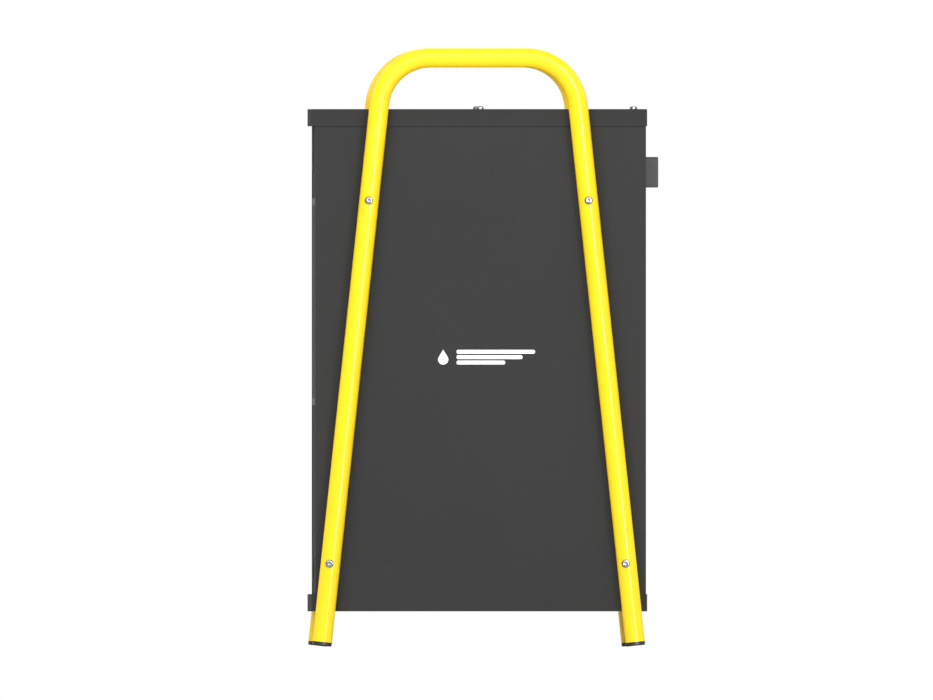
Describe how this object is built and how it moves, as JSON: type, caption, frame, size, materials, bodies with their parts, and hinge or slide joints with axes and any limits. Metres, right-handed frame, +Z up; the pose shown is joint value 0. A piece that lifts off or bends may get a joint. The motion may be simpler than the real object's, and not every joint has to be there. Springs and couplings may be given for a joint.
{
  "type": "dehumidifier",
  "caption": "Upright sheet-metal dehumidifier cabinet carried between two bent tube frames, with a push-button console, grilles, pull-out tank and slide-out filter.",
  "frame": {"origin": "on the floor, under the middle of the overall box", "axes": "+Z up, -Y is the front with the console and the tank, +X is the right-hand side seen from the front"},
  "size_m": [0.509, 0.4436, 0.763],
  "materials": {
    "frame_paint": "gloss yellow powder coat",
    "cabinet_paint": "satin dark grey powder coat",
    "zinc_steel": "bright zinc plate",
    "foot_plastic": "black moulded",
    "console_plastic": "mid grey, fine texture",
    "key_plastic": "light grey",
    "window": "smoked clear",
    "black_plastic": "black moulded",
    "plain_steel": "galvanised sheet",
    "compressor_paint": "gloss black",
    "rubber": "black",
    "fin_aluminium": "plain foil",
    "copper": "drawn tube",
    "tank_plastic": "dark grey",
    "clear_plastic": "white translucent",
    "mesh": "open weave filter",
    "board": "green laminate",
    "hose": "translucent grey"
  },
  "bodies": {
    "cabinet": {"left_frame_tube": "frame_paint", "right_frame_tube": "frame_paint", "base_pan": "cabinet_paint", "left_side_panel": "cabinet_paint", "right_side_panel": "cabinet_paint", "front_panel": "cabinet_paint", "rear_panel": "cabinet_paint", "lid": "cabinet_paint", "frame_bolts": "zinc_steel", "frame_nuts": "zinc_steel", "lid_screws": "zinc_steel", "panel_screws": "zinc_steel", "compressor_studs": "zinc_steel", "foot_plugs": "foot_plastic", "tube_spacers": "foot_plastic", "console_housing": "console_plastic", "display_window": "window", "outlet_grille": "black_plastic", "intake_grille": "black_plastic", "mains_inlet": "black_plastic", "drain_port": "black_plastic", "run_capacitor": "black_plastic", "level_switch": "black_plastic", "top_brace": "plain_steel", "middle_deck": "plain_steel", "bay_divider": "plain_steel", "electrics_shelf": "plain_steel", "tank_shelf": "plain_steel", "fan_shroud": "plain_steel", "motor_bracket": "plain_steel", "filter_guides": "plain_steel", "condenser_end_plates": "plain_steel", "evaporator_end_plates": "plain_steel", "fan_motor": "plain_steel", "compressor": "compressor_paint", "accumulator": "compressor_paint", "compressor_grommets": "rubber", "condenser_fins": "fin_aluminium", "evaporator_fins": "fin_aluminium", "condenser_tube": "copper", "evaporator_tube": "copper", "filter_drier": "copper", "capillary_tube": "copper", "discharge_pipe": "copper", "suction_pipe": "copper", "drip_tray": "tank_plastic", "control_board": "board", "drain_hose": "hose"},
    "tank": {"water_tank": "tank_plastic", "tank_lid": "tank_plastic"},
    "float": {"float_arm": "clear_plastic"},
    "fan": {"fan_rotor": "black_plastic"},
    "filter": {"filter_frame": "black_plastic", "filter_mesh": "mesh"},
    "rocker": {"power_rocker": "black_plastic"},
    "power_button": {"power_button": "key_plastic"},
    "mode_button": {"mode_button": "key_plastic"},
    "speed_button": {"speed_button": "key_plastic"},
    "down_button": {"down_button": "key_plastic"},
    "up_button": {"up_button": "key_plastic"}
  },
  "joints": [
    {"name": "tank_slide", "type": "slide", "parent": "cabinet", "child": "tank", "axis": [0, -1, 0], "range_m": [0, 0.29]},
    {"name": "float_lift", "type": "hinge", "parent": "tank", "child": "float", "pos_m": [-0.06, 0.07325, 0.224], "axis": [-1, 0, 0], "range_deg": [0, 25]},
    {"name": "fan_spin", "type": "hinge", "parent": "cabinet", "child": "fan", "pos_m": [0, 0.02865, 0.4325], "axis": [0, 1, 0], "continuous": true},
    {"name": "filter_slide", "type": "slide", "parent": "cabinet", "child": "filter", "axis": [1, 0, 0], "range_m": [0, 0.4]},
    {"name": "rocker_tilt", "type": "hinge", "parent": "cabinet", "child": "rocker", "pos_m": [0.14, 0.21225, 0.65], "axis": [1, 0, 0], "range_deg": [0, 16]},
    {"name": "power_button_press", "type": "slide", "parent": "cabinet", "child": "power_button", "axis": [0, 1, 0], "range_m": [0, 0.0012], "stiffness_N_per_m": 500},
    {"name": "mode_button_press", "type": "slide", "parent": "cabinet", "child": "mode_button", "axis": [0, 1, 0], "range_m": [0, 0.0012], "stiffness_N_per_m": 500},
    {"name": "speed_button_press", "type": "slide", "parent": "cabinet", "child": "speed_button", "axis": [0, 1, 0], "range_m": [0, 0.0012], "stiffness_N_per_m": 500},
    {"name": "down_button_press", "type": "slide", "parent": "cabinet", "child": "down_button", "axis": [0, 1, 0], "range_m": [0, 0.0012], "stiffness_N_per_m": 500},
    {"name": "up_button_press", "type": "slide", "parent": "cabinet", "child": "up_button", "axis": [0, 1, 0], "range_m": [0, 0.0012], "stiffness_N_per_m": 500}
  ]
}
